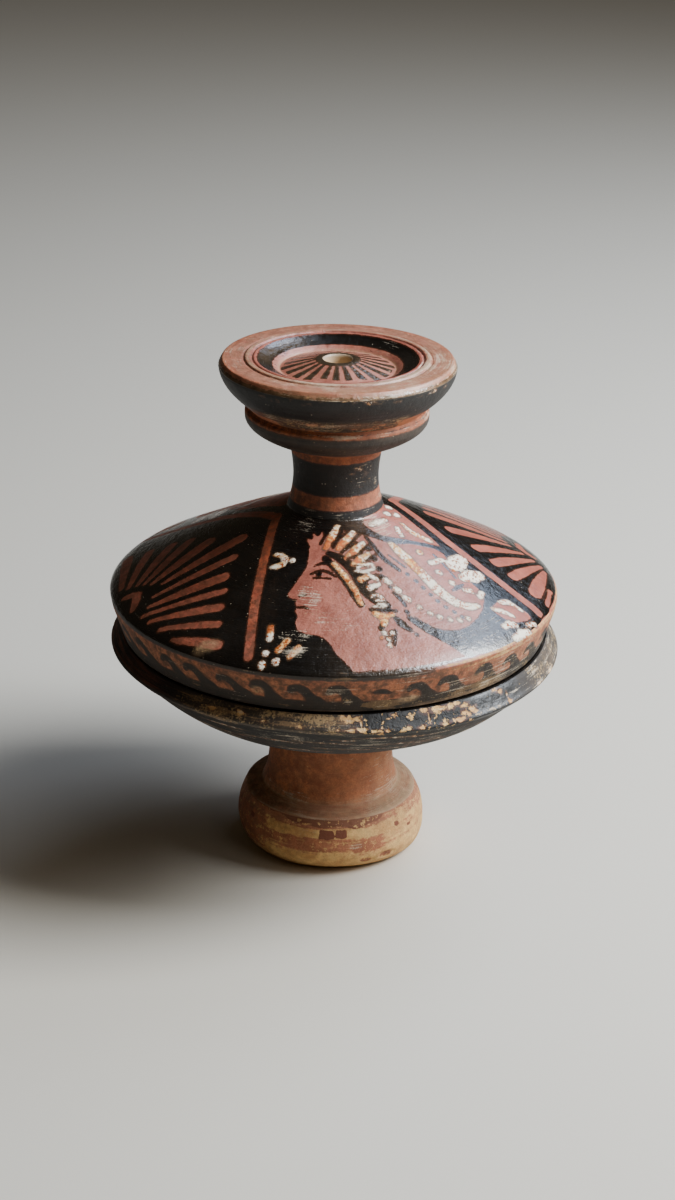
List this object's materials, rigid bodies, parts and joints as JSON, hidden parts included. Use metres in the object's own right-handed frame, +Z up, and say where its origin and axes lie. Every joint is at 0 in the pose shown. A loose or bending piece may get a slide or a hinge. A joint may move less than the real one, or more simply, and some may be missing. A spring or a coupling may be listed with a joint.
{
  "type": "lidded pyxis on a foot",
  "caption": "Wheel-thrown clay pyxis: shallow bowl on a flaring foot, low domed lid with a dished knob, painted black over red.",
  "frame": {"origin": "middle of the foot's underside, on the vessel's axis", "axes": "+Z up along the axis of turning; the painted head on the lid faces -Y"},
  "size_m": [0.1212, 0.1212, 0.14],
  "materials": {
    "bowl_clay": "black slip outside on red clay, stem and foot washed red, worn and flaked",
    "lid_clay": "satin black slip with figures left in the red clay, added white and yellow, worn"
  },
  "bodies": {
    "root": {"bowl": "bowl_clay", "lid": "lid_clay"}
  },
  "joints": []
}
